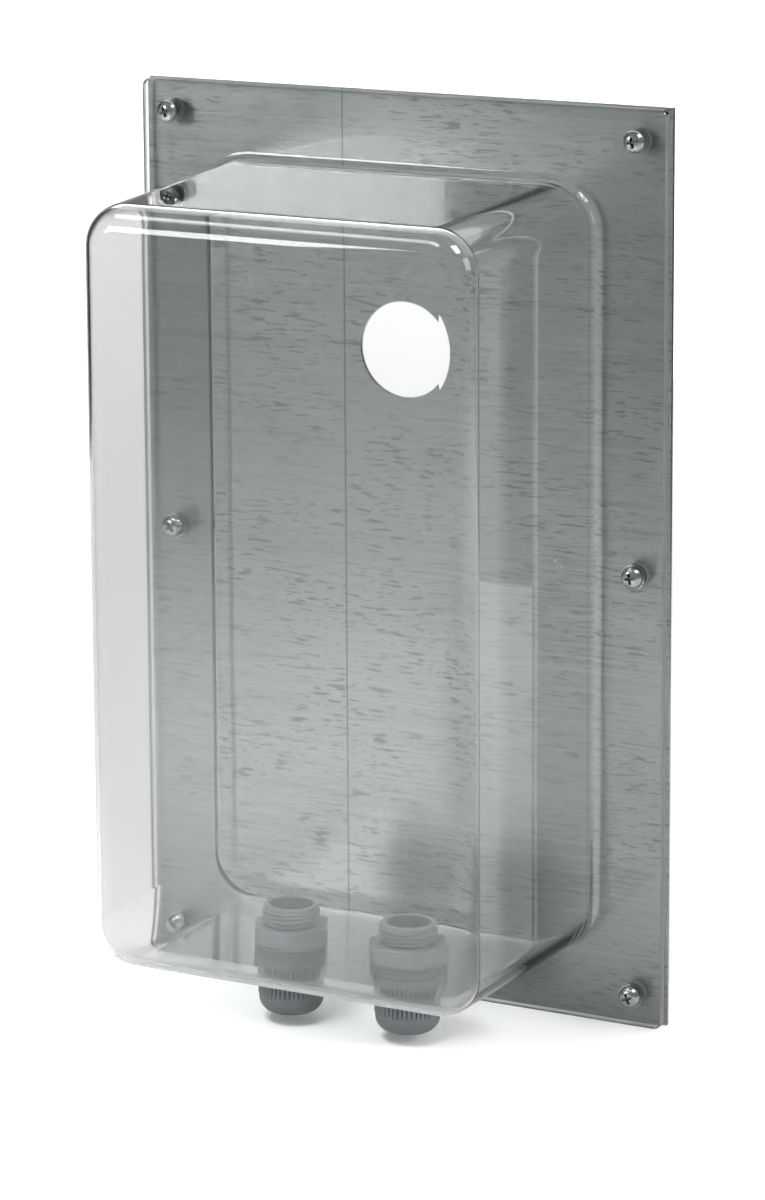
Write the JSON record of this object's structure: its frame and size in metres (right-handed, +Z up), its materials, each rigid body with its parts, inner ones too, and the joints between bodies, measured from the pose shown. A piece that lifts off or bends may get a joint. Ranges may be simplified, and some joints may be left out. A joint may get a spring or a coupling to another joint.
{
  "type": "wall-mounted protective hood",
  "caption": "Clear box-shaped hood with a flange, screwed over a galvanised back plate with a round window; ribbed cable glands pass through its floor.",
  "frame": {"origin": "bottom centre of the bounding box: middle of the width, halfway between the wall and the hood's front face, at the plate's lower edge", "axes": "+Z up, -Y towards the viewer in front of the hood, +Y towards the wall"},
  "size_m": [0.2, 0.1052, 0.32],
  "materials": {
    "galvanised": "galvanised, matt",
    "clear_sheet": "clear, polished",
    "light_strip": "light grey, matt",
    "spacer": "grey, matt",
    "zinc": "bright zinc",
    "gland_grey": "moulded, matt",
    "seal": "smooth",
    "cage_grey": "moulded, matt",
    "insert": "smooth"
  },
  "bodies": {
    "base": {"back_plate": "galvanised", "rear_strip_left": "light_strip", "rear_strip_right": "light_strip", "nut_top_left": "zinc", "nut_top_right": "zinc", "nut_mid_left": "zinc", "nut_mid_right": "zinc", "nut_low_left": "zinc", "nut_low_right": "zinc", "spacer_top_left": "spacer", "spacer_top_right": "spacer", "spacer_mid_left": "spacer", "spacer_mid_right": "spacer", "spacer_low_left": "spacer", "spacer_low_right": "spacer"},
    "hood": {"hood": "clear_sheet", "gland_body_left": "gland_grey", "gland_body_right": "gland_grey", "gland_ring_left": "seal", "gland_ring_right": "seal"},
    "washer_top_left": {"washer_top_left": "zinc"},
    "screw_top_left": {"screw_top_left": "zinc"},
    "washer_top_right": {"washer_top_right": "zinc"},
    "screw_top_right": {"screw_top_right": "zinc"},
    "washer_mid_left": {"washer_mid_left": "zinc"},
    "screw_mid_left": {"screw_mid_left": "zinc"},
    "washer_mid_right": {"washer_mid_right": "zinc"},
    "screw_mid_right": {"screw_mid_right": "zinc"},
    "washer_low_left": {"washer_low_left": "zinc"},
    "screw_low_left": {"screw_low_left": "zinc"},
    "washer_low_right": {"washer_low_right": "zinc"},
    "screw_low_right": {"screw_low_right": "zinc"},
    "clamp_left": {"clamp_cage_left": "cage_grey", "rubber_insert_left": "insert"},
    "cap_nut_left": {"cap_nut_left": "gland_grey"},
    "clamp_right": {"clamp_cage_right": "cage_grey", "rubber_insert_right": "insert"},
    "cap_nut_right": {"cap_nut_right": "gland_grey"}
  },
  "joints": [
    {"name": "hood_lift_off", "type": "slide", "parent": "base", "child": "hood", "axis": [0, -1, 0], "range_m": [0, 0.12]},
    {"name": "washer_top_left_travel", "type": "slide", "parent": "hood", "child": "washer_top_left", "axis": [0, -1, 0], "range_m": [0, 0.0084]},
    {"name": "screw_top_left_turn", "type": "hinge", "parent": "washer_top_left", "child": "screw_top_left", "pos_m": [-0.089, 0.0412, 0.309], "axis": [0, -1, 0], "range_deg": [0, 4321]},
    {"name": "washer_top_right_travel", "type": "slide", "parent": "hood", "child": "washer_top_right", "axis": [0, -1, 0], "range_m": [0, 0.0084]},
    {"name": "screw_top_right_turn", "type": "hinge", "parent": "washer_top_right", "child": "screw_top_right", "pos_m": [0.089, 0.0412, 0.309], "axis": [0, -1, 0], "range_deg": [0, 4321]},
    {"name": "washer_mid_left_travel", "type": "slide", "parent": "hood", "child": "washer_mid_left", "axis": [0, -1, 0], "range_m": [0, 0.0084]},
    {"name": "screw_mid_left_turn", "type": "hinge", "parent": "washer_mid_left", "child": "screw_mid_left", "pos_m": [-0.089, 0.0412, 0.16], "axis": [0, -1, 0], "range_deg": [0, 4321]},
    {"name": "washer_mid_right_travel", "type": "slide", "parent": "hood", "child": "washer_mid_right", "axis": [0, -1, 0], "range_m": [0, 0.0084]},
    {"name": "screw_mid_right_turn", "type": "hinge", "parent": "washer_mid_right", "child": "screw_mid_right", "pos_m": [0.089, 0.0412, 0.16], "axis": [0, -1, 0], "range_deg": [0, 4321]},
    {"name": "washer_low_left_travel", "type": "slide", "parent": "hood", "child": "washer_low_left", "axis": [0, -1, 0], "range_m": [0, 0.0084]},
    {"name": "screw_low_left_turn", "type": "hinge", "parent": "washer_low_left", "child": "screw_low_left", "pos_m": [-0.089, 0.0412, 0.011], "axis": [0, -1, 0], "range_deg": [0, 4321]},
    {"name": "washer_low_right_travel", "type": "slide", "parent": "hood", "child": "washer_low_right", "axis": [0, -1, 0], "range_m": [0, 0.0084]},
    {"name": "screw_low_right_turn", "type": "hinge", "parent": "washer_low_right", "child": "screw_low_right", "pos_m": [0.089, 0.0412, 0.011], "axis": [0, -1, 0], "range_deg": [0, 4321]},
    {"name": "clamp_left_travel", "type": "slide", "parent": "hood", "child": "clamp_left", "axis": [0, -0.0349, -0.9994], "range_m": [0, 0.00601]},
    {"name": "cap_nut_left_turn", "type": "hinge", "parent": "clamp_left", "child": "cap_nut_left", "pos_m": [-0.0208, -0.00069, 0.0231], "axis": [0, -0.0349, -0.9994], "range_deg": [0, 1440]},
    {"name": "clamp_right_travel", "type": "slide", "parent": "hood", "child": "clamp_right", "axis": [0, -0.0349, -0.9994], "range_m": [0, 0.00601]},
    {"name": "cap_nut_right_turn", "type": "hinge", "parent": "clamp_right", "child": "cap_nut_right", "pos_m": [0.0244, -0.00069, 0.0231], "axis": [0, -0.0349, -0.9994], "range_deg": [0, 1440]}
  ],
  "couplings": [
    {"joint": "screw_top_left_turn", "follows": "washer_top_left_travel", "rad_per_m": 8976},
    {"joint": "screw_top_right_turn", "follows": "washer_top_right_travel", "rad_per_m": 8976},
    {"joint": "screw_mid_left_turn", "follows": "washer_mid_left_travel", "rad_per_m": 8976},
    {"joint": "screw_mid_right_turn", "follows": "washer_mid_right_travel", "rad_per_m": 8976},
    {"joint": "screw_low_left_turn", "follows": "washer_low_left_travel", "rad_per_m": 8976},
    {"joint": "screw_low_right_turn", "follows": "washer_low_right_travel", "rad_per_m": 8976},
    {"joint": "clamp_left_travel", "follows": "cap_nut_left_turn", "m_per_rad": 0.00023873},
    {"joint": "clamp_right_travel", "follows": "cap_nut_right_turn", "m_per_rad": 0.00023873}
  ]
}
